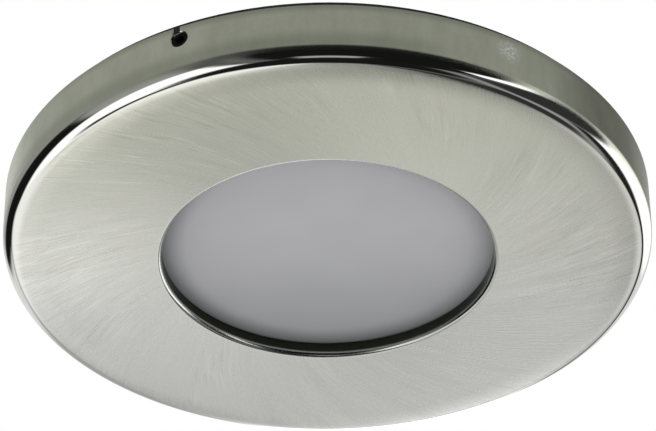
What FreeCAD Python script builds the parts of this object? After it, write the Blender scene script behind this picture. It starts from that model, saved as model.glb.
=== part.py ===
import FreeCAD, Part
import Sketcher
import math
import os
import re

# Soffit downlight: a thin round trim with a frosted lens, on a die-cast housing that passes
# through a round hole in a soffit and is held there by two sprung clips.
# Millimetres. The origin is the middle of the soffit's underside, +Z goes up into the soffit
# and the light shines down, along -Z.

SIZES = {
    # trim cover, pressed from sheet, with a turned-in lip round the aperture
    "rim_radius": 50,
    "cover_sheet": 1,
    "rim_gap": 1.5,
    "face_drop": 11.2,
    "edge_radius": 2.3,
    "aperture_radius": 25.65,
    "lip_radius": 0.7,
    "lip_rise": 2.4,
    # keyhole notches in the skirt and the grub screws behind them
    "notch_count": 3,
    "notch_angle": 245,
    "notch_clearance": 0.05,
    "notch_drop": 2.3,
    "slit_width": 1,
    "slit_offset": 0.48,
    "lock_screw_radius": 1.25,
    "lock_screw_length": 5,
    "lock_screw_inset": 0.25,
    "lock_socket_flats": 1.3,
    "lock_socket_depth": 1.2,
    "thread_clearance": 0.05,
    # lens, its gasket and the ring that holds it down
    "lens_gap": 0.2,
    "lens_overlap": 1.95,
    "lens_thickness": 2.2,
    "lens_bevel": 0.3,
    "gasket_wall": 0.5,
    "gasket_clearance": 0.1,
    "ring_sheet": 0.6,
    "ring_overlap": 1.8,
    "ring_flange": 6.2,
    "stud_reach": 3.3,
    "stud_count": 4,
    "stud_angle": 45,
    "stud_radius": 1,
    "stud_length": 2.8,
    "stud_clearance": 0.2,
    "nut_flats": 4,
    "nut_height": 1.6,
    # cover seal, between the cover and the housing's rim wall
    "seal_width": 3.4,
    "seal_inset": 0.2,
    "seal_height": 1.4,
    # housing casting
    "housing_gap": 0.3,
    "rim_wall": 6.2,
    "housing_sink": 0.5,
    "plate_thickness": 2.7,
    "can_radius": 27,
    "can_wall": 2,
    "can_rise": 16,
    "deck_level": 5,
    "deck_thickness": 2,
    "fin_depth": 3,
    "fin_width": 1.4,
    "fin_drop": 1.5,
    "fin_spacing": 12,
    "fins_each_side": 11,
    # soffit gasket, on a step along the edge of the housing
    "soffit_gasket_width": 4.2,
    "soffit_gasket_height": 1.5,
    # light source
    "pad_thickness": 0.3,
    "led_board_margin": 4,
    "board_thickness": 1.6,
    "led_size": 3,
    "led_height": 0.7,
    "led_inset": 3.1,
    "led_count": 12,
    "reflector_wall": 0.8,
    "reflector_seat_width": 5.2,
    "reflector_flange": 2,
    "reflector_clearance": 0.3,
    "board_screw_inset": 2.2,
    "board_screw_count": 3,
    "screw_radius": 1,
    "screw_head_radius": 1.9,
    "screw_head_height": 1.2,
    "screw_socket_flats": 1.3,
    "screw_socket_depth": 0.8,
    "board_screw_grip": 1.6,
    "lead_radius": 0.6,
    "lead_place": 7,
    "lead_spacing": 2.4,
    "lead_hole_radius": 0.8,
    # driver
    "standoff_height": 1.5,
    "standoff_radius": 2.2,
    "driver_board_gap": 0.8,
    "driver_screw_inset": 3.6,
    "driver_screw_grip": 1.8,
    "part_gap": 0.05,
    "transformer_length": 8,
    "core_stand": 1,
    "core_length": 4,
    "core_headroom": 1.1,
    "transformer_edge_gap": 0.7,
    "transformer_locknut_gap": 1.5,
    "capacitor_radius": 2.5,
    "capacitor_headroom": 1.7,
    "capacitor_inset": 5.7,
    "capacitor_spacing": 6,
    "terminal_length": 12.6,
    "terminal_width": 6,
    "terminal_headroom": 1.1,
    "terminal_inset": 6.2,
    "terminal_shift": 1.5,
    "terminal_ways": 3,
    "terminal_pitch": 4,
    "terminal_bore": 1.2,
    "terminal_screw_radius": 1.1,
    "terminal_screw_length": 1.5,
    "terminal_slot": 0.5,
    "rectifier_size": 4,
    "rectifier_height": 1.8,
    "rectifier_inset": 7.7,
    # rear cover
    "rear_gasket_height": 0.8,
    "rear_gasket_inset": 0.25,
    "rear_cover_thickness": 2,
    "rear_edge_radius": 0.8,
    "column_radius": 2.6,
    "column_inset": 2.4,
    "column_count": 4,
    "column_angle": 45,
    "rear_screw_grip": 6,
    # cable gland
    "gland_thread_radius": 5.9,
    "gland_thread_length": 5,
    "gland_bore_clearance": 0.35,
    "gland_hex_wall": 1.2,
    "gland_hex_height": 3.5,
    "gland_neck_radius": 6.3,
    "gland_neck_length": 4.6,
    "cable_radius": 3.25,
    "gland_wall": 1.1,
    "gland_seal_height": 6,
    "cap_wall": 1.4,
    "cap_gap": 0.3,
    "cap_clearance": 0.1,
    "cap_height": 8.2,
    "cap_top": 3.6,
    "cap_mouth_clearance": 0.75,
    "cap_chamfer": 1.6,
    "locknut_wall": 1.1,
    "locknut_height": 2.2,
    # sprung clips
    "clip_pad_depth": 3,
    "clip_pad_margin": 0.9,
    "bracket_sheet": 1,
    "bracket_base": 1.2,
    "bracket_ear_wall": 1.4,
    "rivet_radius": 1.2,
    "rivet_head_radius": 1.8,
    "rivet_head": 0.8,
    "rivet_grip": 2.4,
    "rivet_drop": 1.2,
    "rivet_rise": 4.6,
    "bracket_drop": 1,
    "pivot_level": 6,
    "pin_radius": 1,
    "pin_clearance": 0.06,
    "pin_head_radius": 1.7,
    "pin_head": 0.8,
    "arm_sheet": 0.8,
    "arm_gap": 0.3,
    "arm_length": 13.4,
    "arm_back": 1.4,
    "arm_tip": 2.2,
    "arm_tip_rise": 1.6,
    "pad_length": 5,
    "pad_height": 0.7,
    "pad_margin": 0.6,
    "wire_radius": 0.4,
    "coil_clearance": 0.4,
    "coil_turns": 4,
    "coil_pitch": 1.3,
    "coil_side_gap": 0.8375,
    "leg_gap": 0.2,
    "coil_rear_leg": 4.4,
    "coil_front_leg": 8,
}

# Heights and radii that several pieces share, each worked out from the sizes above.
LEVELS = {
    "rim_level": "-rim_gap",
    "face_level": "-face_drop",
    "face_inside": "face_level + cover_sheet",
    "skirt_inside": "rim_radius - cover_sheet",
    "edge_inside_radius": "edge_radius - cover_sheet",
    "lip_outside": "aperture_radius + cover_sheet",
    "lip_top": "face_level + lip_rise",
    "notch_level": "rim_level - notch_drop",
    "notch_radius": "lock_screw_radius + notch_clearance",
    "lens_radius": "lip_outside + lens_overlap",
    "lens_bottom": "lip_top + lens_gap",
    "lens_top": "lens_bottom + lens_thickness",
    "gasket_inside": "lens_radius + gasket_clearance",
    "gasket_outside": "gasket_inside + gasket_wall",
    "ring_inside": "gasket_outside + gasket_clearance",
    "ring_outside": "ring_inside + ring_sheet",
    "stud_circle": "ring_outside + stud_reach",
    "flange_top": "face_inside + ring_sheet",
    "nut_top": "flange_top + nut_height",
    "stud_top": "face_inside + stud_length",
    "housing_top": "-housing_sink",
    "housing_radius": "skirt_inside - housing_gap",
    "rim_wall_inside": "housing_radius - rim_wall",
    "rim_wall_bottom": "face_inside + seal_height",
    "seal_outside": "skirt_inside - edge_inside_radius - seal_inset",
    "seal_inside": "seal_outside - seal_width",
    "plate_bottom": "housing_top - plate_thickness",
    "soffit_gasket_inside": "housing_radius - soffit_gasket_width",
    "soffit_gasket_seat": "-soffit_gasket_height",
    "can_inside": "can_radius - can_wall",
    "fin_rise": "can_rise - fin_drop",
    "deck_top": "deck_level + deck_thickness",
    "led_board_radius": "can_inside - led_board_margin",
    "board_screw_circle": "led_board_radius - board_screw_inset",
    "reflector_top_radius": "board_screw_circle - reflector_seat_width",
    "led_circle": "reflector_top_radius - led_inset",
    "led_board_top": "deck_level - pad_thickness",
    "led_board_bottom": "led_board_top - board_thickness",
    "led_bottom": "led_board_bottom - led_height",
    "flange_seat": "led_board_bottom - reflector_wall",
    "reflector_bottom": "plate_bottom",
    "reflector_mouth": "can_inside - reflector_clearance",
    "column_circle": "can_inside - column_inset",
    "driver_board_radius": "column_circle - column_radius - driver_board_gap",
    "driver_screw_circle": "driver_board_radius - driver_screw_inset",
    "transformer_near": "locknut_flats / 2 + transformer_locknut_gap",
    "transformer_width": "driver_board_radius - transformer_edge_gap - transformer_near",
    "transformer_place": "transformer_near + transformer_width / 2",
    "capacitor_place": "driver_board_radius - capacitor_inset",
    "terminal_place": "driver_board_radius - terminal_inset",
    "rectifier_place": "driver_board_radius - rectifier_inset",
    "driver_bottom": "deck_top + standoff_height",
    "driver_top": "driver_bottom + board_thickness",
    "rear_bottom": "can_rise + rear_gasket_height",
    "rear_top": "rear_bottom + rear_cover_thickness",
    "core_height": "rear_bottom - core_headroom - driver_top",
    "transformer_height": "core_height - core_stand",
    "capacitor_height": "rear_bottom - capacitor_headroom - driver_top",
    "terminal_height": "rear_bottom - terminal_headroom - driver_top",
    "gland_hex_top": "rear_top + gland_hex_height",
    "gland_neck_top": "gland_hex_top + gland_neck_length",
    "gland_thread_bottom": "rear_bottom - gland_thread_length + rear_cover_thickness",
    "gland_bore": "cable_radius + gland_bore_clearance",
    "gland_flats": "2 * (gland_neck_radius + gland_hex_wall)",
    "gland_seal_radius": "gland_neck_radius - gland_wall",
    "gland_seal_bottom": "gland_neck_top - gland_seal_height",
    "cap_flats": "2 * (gland_neck_radius + cap_clearance + cap_wall)",
    "cap_corner": "cap_flats / sqrt(3)",
    "cap_mouth": "cable_radius + cap_mouth_clearance",
    "cap_bottom": "gland_hex_top + cap_gap",
    "cap_rise": "cap_bottom + cap_height",
    "cap_ceiling": "cap_rise - cap_top",
    "cap_shoulder": "cap_rise - cap_top / 2",
    "locknut_flats": "2 * (gland_thread_radius + locknut_wall)",
    "locknut_bottom": "rear_bottom - locknut_height",
    "clip_face": "can_radius + clip_pad_depth",
    "bracket_face": "clip_face + bracket_sheet",
    "coil_radius": "pin_radius + coil_clearance + wire_radius",
    "coil_outside": "coil_radius + wire_radius",
    "pivot_place": "bracket_face + coil_outside + leg_gap",
    "arm_top": "pivot_level - coil_outside - leg_gap",
    "arm_bottom": "arm_top - arm_sheet",
    "coil_half": "(coil_turns + 0.25) * coil_pitch / 2 + wire_radius",
    "arm_inside": "coil_half + coil_side_gap",
    "arm_outside": "arm_inside + arm_sheet",
    "bracket_inside": "arm_outside + arm_gap",
    "bracket_outside": "bracket_inside + bracket_sheet",
    "bracket_ear_round": "pin_radius + bracket_ear_wall",
    "rivet_level": "pivot_level + rivet_rise",
    "bracket_top": "rivet_level + rivet_radius + rivet_drop",
    "clip_pad_rise": "bracket_top + bracket_drop",
    "arm_end": "pivot_place + arm_length",
    "pad_bottom": "arm_bottom - pad_height",
}

SAME_PLACE = 1e-4  # how near two lengths are when they are the same

doc = FreeCAD.newDocument("soffit_downlight")
nodes = []


def fill_sheet(name, cells):
    """Write one aliased cell per entry: a plain number, or a formula of other aliases."""
    sheet = doc.addObject("Spreadsheet::Sheet", name)
    for row, (alias, content) in enumerate(cells.items(), start=1):
        cell = f"B{row}"
        sheet.set(f"A{row}", alias)
        sheet.set(cell, "=" + formula(content) if isinstance(content, str) else str(content))
        sheet.setAlias(cell, alias)
    doc.recompute()
    return sheet


def formula(text):
    """Point every alias in an expression at its sheet."""

    def owner(match):
        word = match.group(0)
        if word in SIZES:
            return "sizes." + word
        return "levels." + word if word in LEVELS else word

    return re.sub(r"[a-z_]+", owner, text)


sizes = fill_sheet("sizes", SIZES)
levels = fill_sheet("levels", LEVELS)


def value(alias):
    """The number behind an alias, for the few choices that an expression can't make."""
    return float(getattr(sizes if alias in SIZES else levels, alias))


def bind(item, **expressions):
    for name, text in expressions.items():
        item.setExpression(name.replace("__", "."), formula(text))
    return item


def place(item, x, y, z):
    return bind(item, Placement__Base__x=x, Placement__Base__y=y, Placement__Base__z=z)


def node(label, item):
    """Name a finished sub-part."""
    item.Label = label
    nodes.append(item)
    return item


# ---------------------------------------------------------------- building blocks


def cylinder(radius, bottom, top, x="0", y="0"):
    item = doc.addObject("Part::Cylinder", "round")
    bind(item, Radius=radius, Height=f"({top}) - ({bottom})")
    return place(item, x, y, bottom)


def rod_along_x(radius, start, end, y, z):
    item = doc.addObject("Part::Cylinder", "rod")
    item.Placement.Rotation = FreeCAD.Rotation(FreeCAD.Vector(0, 1, 0), 90)
    bind(item, Radius=radius, Height=f"({end}) - ({start})")
    return place(item, start, y, z)


def rod_along_y(radius, start, end, x, z):
    item = doc.addObject("Part::Cylinder", "rod")
    item.Placement.Rotation = FreeCAD.Rotation(FreeCAD.Vector(1, 0, 0), -90)
    bind(item, Radius=radius, Height=f"({end}) - ({start})")
    return place(item, x, start, z)


def box(x_low, x_high, y_low, y_high, z_low, z_high):
    item = doc.addObject("Part::Box", "block")
    bind(item, Length=f"({x_high}) - ({x_low})", Width=f"({y_high}) - ({y_low})")
    bind(item, Height=f"({z_high}) - ({z_low})")
    return place(item, x_low, y_low, z_low)


def hexagon(flats, bottom, top, x="0", y="0"):
    item = doc.addObject("Part::Prism", "hexagon")
    item.Polygon = 6
    bind(item, Circumradius=f"({flats}) / sqrt(3)", Height=f"({top}) - ({bottom})")
    return place(item, x, y, bottom)


def hexagon_along_x(flats, start, end, z):
    item = doc.addObject("Part::Prism", "hexagon")
    item.Polygon = 6
    item.Placement.Rotation = FreeCAD.Rotation(FreeCAD.Vector(0, 1, 0), 90)
    bind(item, Circumradius=f"({flats}) / sqrt(3)", Height=f"({end}) - ({start})")
    return place(item, start, "0", z)


def group(items):
    item = doc.addObject("Part::Compound", "group")
    item.Links = items
    return item


def fuse(items):
    item = doc.addObject("Part::MultiFuse", "joined")
    item.Shapes = items
    item.Refine = True
    return item


def cut(base, tools):
    item = doc.addObject("Part::Cut", "cut")
    item.Base = base
    item.Tool = tools[0] if len(tools) == 1 else fuse(tools)
    return item


def common(first, second):
    item = doc.addObject("Part::Common", "common")
    item.Base = first
    item.Tool = second
    return item


def turned(item, angle):
    """The item swung round the middle axis by an angle in degrees."""
    holder = group([item])
    return bind(holder, Placement__Rotation__Angle=angle)


def around(count, angle="0"):
    """The angles of evenly spaced copies round the middle axis."""
    copies = round(value(count))
    return [f"{angle} + {index} * 360 / {count}" for index in range(copies)]


def spot(circle, angle):
    """The x and y of a point on a circle round the middle axis."""
    return f"{circle} * cos(({angle}) * 1 deg)", f"{circle} * sin(({angle}) * 1 deg)"


def plane_of(body, role):
    return next(item for item in body.Origin.OriginFeatures if item.Role == role)


def outline(sketch, points):
    """A closed outline whose corners are tied to the sheets by their distance from the axes."""
    start = [
        FreeCAD.Vector(math.cos(math.tau * index / len(points)), math.sin(math.tau * index / len(points)), 0)
        for index in range(len(points))
    ]
    for index, point in enumerate(start):
        sketch.addGeometry(Part.LineSegment(point, start[(index + 1) % len(points)]), False)
    for index in range(len(points)):
        following = (index + 1) % len(points)
        sketch.addConstraint(Sketcher.Constraint("Coincident", index, 2, following, 1))
    for index, (across, up) in enumerate(points):
        for kind, text in (("DistanceX", across), ("DistanceY", up)):
            number = sketch.addConstraint(Sketcher.Constraint(kind, -1, 1, index, 1, 1.0))
            sketch.setExpression(f"Constraints[{number}]", formula(text))


def section_sketch(body, role, points):
    sketch = body.newObject("Sketcher::SketchObject", body.Name + "_section")
    sketch.AttachmentSupport = [(plane_of(body, role), "")]
    sketch.MapMode = "FlatFace"
    outline(sketch, points)
    return sketch


def round_edges(body, feature, rounds):
    """Round circular edges, each found by its radius and its height."""
    for radius, height, size in rounds:
        doc.recompute()
        names = [
            f"Edge{number}"
            for number, edge in enumerate(feature.Shape.Edges, start=1)
            if isinstance(edge.Curve, Part.Circle)
            and abs(edge.Curve.Radius - value(radius)) < SAME_PLACE
            and abs(edge.Curve.Center.z - value(height)) < SAME_PLACE
        ]
        fillet = body.newObject("PartDesign::Fillet", body.Name + "_round")
        fillet.Base = (feature, names)
        bind(fillet, Radius=size)
        feature = fillet
    body.Tip = feature


def revolved(name, points, rounds=()):
    """A body turned from a half section given as radius and height."""
    body = doc.addObject("PartDesign::Body", name)
    sketch = section_sketch(body, "XZ_Plane", points)
    turn = body.newObject("PartDesign::Revolution", name + "_turn")
    turn.Profile = sketch
    turn.ReferenceAxis = (sketch, ["V_Axis"])
    turn.Angle = 360
    round_edges(body, turn, rounds)
    return body


def ring(name, inside, outside, bottom, top):
    corners = [(inside, bottom), (outside, bottom), (outside, top), (inside, top)]
    return revolved(name, corners)


def socket_screw(seat, grip, x, y, facing):
    """A round-headed socket screw whose head stands on its seat and points up or down."""
    sign = "" if facing == "up" else "-"
    tip = f"{seat} - {sign}{grip}"
    crown = f"{seat} + {sign}screw_head_height"
    floor = f"{crown} - {sign}screw_socket_depth"
    low, high = (tip, crown) if facing == "up" else (crown, tip)
    head_low, head_high = (seat, crown) if facing == "up" else (crown, seat)
    socket_low, socket_high = (floor, crown) if facing == "up" else (crown, floor)
    shank = cylinder("screw_radius", low, high, x, y)
    head = cylinder("screw_head_radius", head_low, head_high, x, y)
    socket = hexagon("screw_socket_flats", socket_low, socket_high, x, y)
    return cut(fuse([shank, head]), [socket])


# ---------------------------------------------------------------- trim cover and lens


def make_trim_cover():
    shell = revolved(
        "trim_shell",
        [
            ("aperture_radius", "face_level"),
            ("rim_radius", "face_level"),
            ("rim_radius", "rim_level"),
            ("skirt_inside", "rim_level"),
            ("skirt_inside", "face_inside"),
            ("lip_outside", "face_inside"),
            ("lip_outside", "lip_top"),
            ("aperture_radius", "lip_top"),
        ],
        [
            ("rim_radius", "face_level", "edge_radius"),
            ("skirt_inside", "face_inside", "edge_inside_radius"),
            ("aperture_radius", "face_level", "lip_radius"),
        ],
    )
    keyholes = []
    for angle in around("notch_count", "notch_angle"):
        beyond = "rim_radius + cover_sheet"
        within = "skirt_inside - cover_sheet"
        hole = rod_along_x("notch_radius", within, beyond, "0", "notch_level")
        low, high = "-slit_offset - slit_width / 2", "-slit_offset + slit_width / 2"
        slit = box(within, beyond, low, high, "notch_level", "rim_level + cover_sheet")
        keyholes.append(turned(fuse([hole, slit]), angle))
    studs = []
    for angle in around("stud_count", "stud_angle"):
        studs.append(cylinder("stud_radius", "face_inside", "stud_top", *spot("stud_circle", angle)))
    node("trim_cover", fuse([cut(shell, [group(keyholes)])] + studs))


def make_lens():
    lens = revolved(
        "lens_body",
        [
            ("0", "lens_bottom"),
            ("lens_radius", "lens_bottom"),
            ("lens_radius", "lens_top - lens_bevel"),
            ("lens_radius - lens_bevel", "lens_top"),
            ("0", "lens_top"),
        ],
    )
    node("lens", lens)
    gasket = revolved(
        "lens_gasket_body",
        [
            ("lip_outside + gasket_clearance", "face_inside"),
            ("gasket_outside", "face_inside"),
            ("gasket_outside", "lens_top"),
            ("gasket_inside", "lens_top"),
            ("gasket_inside", "lens_bottom"),
            ("lip_outside + gasket_clearance", "lens_bottom"),
        ],
    )
    node("lens_gasket", gasket)


def make_retaining_ring():
    hat = revolved(
        "retaining_hat",
        [
            ("ring_inside", "face_inside"),
            ("ring_outside + ring_flange", "face_inside"),
            ("ring_outside + ring_flange", "flange_top"),
            ("ring_outside", "flange_top"),
            ("ring_outside", "lens_top + ring_sheet"),
            ("lens_radius - ring_overlap", "lens_top + ring_sheet"),
            ("lens_radius - ring_overlap", "lens_top"),
            ("ring_inside", "lens_top"),
        ],
    )
    holes = []
    nuts = []
    for angle in around("stud_count", "stud_angle"):
        x, y = spot("stud_circle", angle)
        holes.append(cylinder("stud_radius + stud_clearance", "face_inside - ring_sheet", "nut_top", x, y))
        blank = hexagon("nut_flats", "flange_top", "nut_top", x, y)
        bore = cylinder("stud_radius", "face_inside", "stud_top + nut_height", x, y)
        nuts.append(cut(blank, [bore]))
    node("lens_retaining_ring", cut(hat, [group(holes)]))
    node("retaining_nuts", group(nuts))


def make_cover_seal():
    seal = ring("cover_seal_body", "seal_inside", "seal_outside", "face_inside", "rim_wall_bottom")
    node("cover_seal", seal)


# ---------------------------------------------------------------- housing


def make_housing():
    turned_casting = revolved(
        "casting_body",
        [
            ("0", "deck_level"),
            ("can_inside", "deck_level"),
            ("can_inside", "plate_bottom"),
            ("rim_wall_inside", "plate_bottom"),
            ("rim_wall_inside", "rim_wall_bottom"),
            ("housing_radius", "rim_wall_bottom"),
            ("housing_radius", "soffit_gasket_seat"),
            ("soffit_gasket_inside", "soffit_gasket_seat"),
            ("soffit_gasket_inside", "housing_top"),
            ("can_radius", "housing_top"),
            ("can_radius", "can_rise"),
            ("can_inside", "can_rise"),
            ("can_inside", "deck_top"),
            ("0", "deck_top"),
        ],
    )
    can_wall_middle = "can_radius - can_wall / 2"
    plate_middle = "housing_top - plate_thickness / 2"
    deck_middle = "deck_top - deck_thickness / 2"
    added = [turned_casting]
    for side in ("90", "270"):
        for index in range(round(value("fins_each_side"))):
            fin = box(
                can_wall_middle,
                "can_radius + fin_depth",
                "-fin_width / 2",
                "fin_width / 2",
                plate_middle,
                "fin_rise",
            )
            added.append(turned(fin, f"{side} + ({index} - (fins_each_side - 1) / 2) * fin_spacing"))
    for side in ("0", "180"):
        half = "(bracket_outside + clip_pad_margin)"
        face = box(can_wall_middle, "clip_face", f"-{half}", half, plate_middle, "clip_pad_rise")
        added.append(turned(face, side))
    for angle in around("board_screw_count"):
        x, y = spot("driver_screw_circle", angle)
        added.append(cylinder("standoff_radius", deck_middle, "driver_bottom", x, y))
    for angle in around("column_count", "column_angle"):
        x, y = spot("column_circle", angle)
        added.append(cylinder("column_radius", deck_middle, "rear_bottom", x, y))

    drilled = []
    for angle in around("notch_count", "notch_angle"):
        bore = rod_along_x(
            "lock_screw_radius + thread_clearance", "rim_wall_inside", "rim_radius", "0", "notch_level"
        )
        drilled.append(turned(bore, angle))
    for angle in around("board_screw_count", "60"):
        x, y = spot("board_screw_circle", angle)
        drilled.append(cylinder("screw_radius", "led_board_top", "deck_level + board_screw_grip", x, y))
    for angle in around("board_screw_count"):
        x, y = spot("driver_screw_circle", angle)
        drilled.append(cylinder("screw_radius", "driver_bottom - driver_screw_grip", "driver_top", x, y))
    for angle in around("column_count", "column_angle"):
        x, y = spot("column_circle", angle)
        drilled.append(cylinder("screw_radius", "rear_bottom - rear_screw_grip", "rear_top", x, y))
    for side in ("0", "180"):
        rivet_end = "clip_face - rivet_grip"
        rivet = rod_along_x("rivet_radius", rivet_end, "bracket_face", "0", "rivet_level")
        drilled.append(turned(rivet, side))
    for offset in ("-lead_spacing / 2", "lead_spacing / 2"):
        drilled.append(cylinder("lead_hole_radius", "led_board_top", "driver_bottom", "-lead_place", offset))
    node("base_casting", cut(fuse(added), [group(drilled)]))
    inside, bottom = "soffit_gasket_inside", "soffit_gasket_seat"
    node("soffit_gasket", ring("soffit_gasket_body", inside, "housing_radius", bottom, "0"))


def make_lock_screws():
    for number, angle in enumerate(around("notch_count", "notch_angle"), start=1):
        outer = "rim_radius - lock_screw_inset"
        shank = rod_along_x("lock_screw_radius", f"{outer} - lock_screw_length", outer, "0", "notch_level")
        floor = f"{outer} - lock_socket_depth"
        socket = hexagon_along_x("lock_socket_flats", floor, "rim_radius", "notch_level")
        node(f"lock_screw_{number}", turned(cut(shank, [socket]), angle))


# ---------------------------------------------------------------- light source


def make_light_source():
    screw_holes = []
    screws = []
    for angle in around("board_screw_count", "60"):
        x, y = spot("board_screw_circle", angle)
        bottom = "flange_seat - screw_head_height"
        screw_holes.append(cylinder("screw_radius", bottom, "deck_level + board_screw_grip", x, y))
        grip = "(deck_level - flange_seat + board_screw_grip)"
        screws.append(socket_screw("flange_seat", grip, x, y, "down"))
    lead_holes = []
    for offset in ("-lead_spacing / 2", "lead_spacing / 2"):
        lead_holes.append(cylinder("lead_hole_radius", "led_board_top", "deck_level", "-lead_place", offset))

    pad = cylinder("led_board_radius", "led_board_top", "deck_level")
    node("thermal_pad", cut(pad, [group(screw_holes + lead_holes)]))
    board = cylinder("led_board_radius", "led_board_bottom", "led_board_top")
    node("led_board", cut(board, [group(screw_holes)]))

    chips = [led("0", "0")]
    for angle in around("led_count"):
        chips.append(led(*spot("led_circle", angle)))
    for angle in around("board_screw_count", "30"):
        chips.append(led(*spot("led_circle / 2", angle)))
    node("led_chips", group(chips))
    node("led_board_screws", group(screws))

    cone = revolved(
        "reflector_body",
        [
            ("reflector_top_radius", "led_board_bottom"),
            ("board_screw_circle + reflector_flange", "led_board_bottom"),
            ("board_screw_circle + reflector_flange", "flange_seat"),
            ("reflector_top_radius + reflector_wall", "flange_seat"),
            ("reflector_mouth", "reflector_bottom"),
            ("reflector_mouth - reflector_wall", "reflector_bottom"),
        ],
    )
    node("reflector", cut(cone, [group(screw_holes)]))

    leads = []
    for offset in ("-lead_spacing / 2", "lead_spacing / 2"):
        leads.append(cylinder("lead_radius", "led_board_top", "driver_bottom", "-lead_place", offset))
    node("led_leads", group(leads))


def led(x, y):
    west, east = f"{x} - led_size / 2", f"{x} + led_size / 2"
    south, north = f"{y} - led_size / 2", f"{y} + led_size / 2"
    return box(west, east, south, north, "led_bottom", "led_board_bottom")


# ---------------------------------------------------------------- driver


def make_driver():
    screw_holes = []
    screws = []
    for angle in around("board_screw_count"):
        x, y = spot("driver_screw_circle", angle)
        screw_holes.append(cylinder("screw_radius", "deck_top", "rear_bottom", x, y))
        screws.append(socket_screw("driver_top", "(board_thickness + driver_screw_grip)", x, y, "up"))
    board = cylinder("driver_board_radius", "driver_bottom", "driver_top")
    node("driver_board", cut(board, [group(screw_holes)]))
    node("driver_screws", group(screws))

    bobbin = box(
        "-transformer_length / 2",
        "transformer_length / 2",
        "transformer_place - transformer_width / 2",
        "transformer_place + transformer_width / 2",
        "driver_top",
        "driver_top + transformer_height",
    )
    core_slot = box(
        "-core_length / 2",
        "core_length / 2",
        "transformer_place - transformer_width",
        "transformer_place + transformer_width",
        "driver_top + transformer_height / 2",
        "driver_top + core_height",
    )
    node("transformer_bobbin", cut(bobbin, [core_slot]))
    core = box(
        "-core_length / 2 + part_gap",
        "core_length / 2 - part_gap",
        "transformer_place - transformer_width / 2",
        "transformer_place + transformer_width / 2",
        "driver_top + transformer_height / 2",
        "driver_top + core_height",
    )
    node("transformer_core", core)

    cans = []
    top = "driver_top + capacitor_height"
    for side in ("-", ""):
        y = f"{side}capacitor_spacing / 2"
        cans.append(cylinder("capacitor_radius", "driver_top", top, "-capacitor_place", y))
    node("driver_capacitors", group(cans))
    half = "rectifier_size / 2"
    chip = box(
        f"rectifier_place - {half}",
        f"rectifier_place + {half}",
        f"rectifier_size - {half}",
        f"rectifier_size + {half}",
        "driver_top",
        "driver_top + rectifier_height",
    )
    node("rectifier", chip)
    make_terminal_block()


def make_terminal_block():
    block = box(
        "terminal_shift - terminal_length / 2",
        "terminal_shift + terminal_length / 2",
        "-terminal_place - terminal_width / 2",
        "-terminal_place + terminal_width / 2",
        "driver_top",
        "driver_top + terminal_height",
    )
    mouths = []
    screws = []
    for index in range(round(value("terminal_ways"))):
        x = f"terminal_shift + ({index} - (terminal_ways - 1) / 2) * terminal_pitch"
        near, far = "-terminal_place", "-terminal_place + terminal_width"
        mouths.append(rod_along_y("terminal_bore", near, far, x, "driver_top + terminal_height / 3"))
        floor = "driver_top + terminal_height - terminal_screw_length"
        mouths.append(cylinder("terminal_screw_radius", floor, "rear_bottom", x, "-terminal_place"))
        head = f"{floor} + terminal_screw_length"
        plug = cylinder("terminal_screw_radius", floor, head, x, "-terminal_place")
        slot = box(
            f"{x} - terminal_screw_radius",
            f"{x} + terminal_screw_radius",
            "-terminal_place - terminal_slot / 2",
            "-terminal_place + terminal_slot / 2",
            f"{floor} + terminal_screw_length / 2",
            "rear_bottom",
        )
        screws.append(cut(plug, [slot]))
    node("terminal_block", cut(block, [group(mouths)]))
    node("terminal_screws", group(screws))


# ---------------------------------------------------------------- rear cover and cable gland


def make_rear_cover():
    inside, outside = "can_inside + rear_gasket_inset", "can_radius - rear_gasket_inset"
    node("rear_gasket", ring("rear_gasket_body", inside, outside, "can_rise", "rear_bottom"))
    lid = revolved(
        "rear_cover_body",
        [
            ("gland_thread_radius", "rear_bottom"),
            ("can_radius", "rear_bottom"),
            ("can_radius", "rear_top"),
            ("gland_thread_radius", "rear_top"),
        ],
        [("can_radius", "rear_top", "rear_edge_radius")],
    )
    holes = []
    screws = []
    for angle in around("column_count", "column_angle"):
        x, y = spot("column_circle", angle)
        holes.append(cylinder("screw_radius", "can_rise", "rear_top + screw_head_height", x, y))
        screws.append(socket_screw("rear_top", "(rear_cover_thickness + rear_screw_grip)", x, y, "up"))
    node("rear_cover", cut(lid, [group(holes)]))
    node("rear_cover_screws", group(screws))


def make_gland():
    thread = cylinder("gland_thread_radius", "gland_thread_bottom", "rear_top")
    hex_flange = hexagon("gland_flats", "rear_top", "gland_hex_top")
    neck = cylinder("gland_neck_radius", "rear_top", "gland_neck_top")
    bore = cylinder("gland_bore", "gland_thread_bottom", "gland_neck_top")
    pocket = cylinder("gland_seal_radius", "gland_seal_bottom", "gland_neck_top")
    node("gland_body", cut(fuse([thread, hex_flange, neck]), [bore, pocket]))
    bottom, top = "gland_seal_bottom", "gland_neck_top"
    insert = ring("gland_seal_body", "cable_radius", "gland_seal_radius", bottom, top)
    node("gland_seal", insert)
    dome = revolved(
        "gland_cap_body",
        [
            ("gland_neck_radius + cap_clearance", "cap_bottom"),
            ("cap_corner", "cap_bottom"),
            ("cap_corner", "cap_shoulder"),
            ("cap_mouth + cap_chamfer", "cap_rise"),
            ("cap_mouth", "cap_rise"),
            ("cap_mouth", "cap_ceiling"),
            ("gland_neck_radius + cap_clearance", "cap_ceiling"),
        ],
    )
    node("gland_cap", common(hexagon("cap_flats", "cap_bottom", "cap_rise"), dome))
    blank = hexagon("locknut_flats", "locknut_bottom", "rear_bottom")
    node("gland_locknut", cut(blank, [cylinder("gland_thread_radius", "gland_thread_bottom", "rear_top")]))


# ---------------------------------------------------------------- sprung clips


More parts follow.
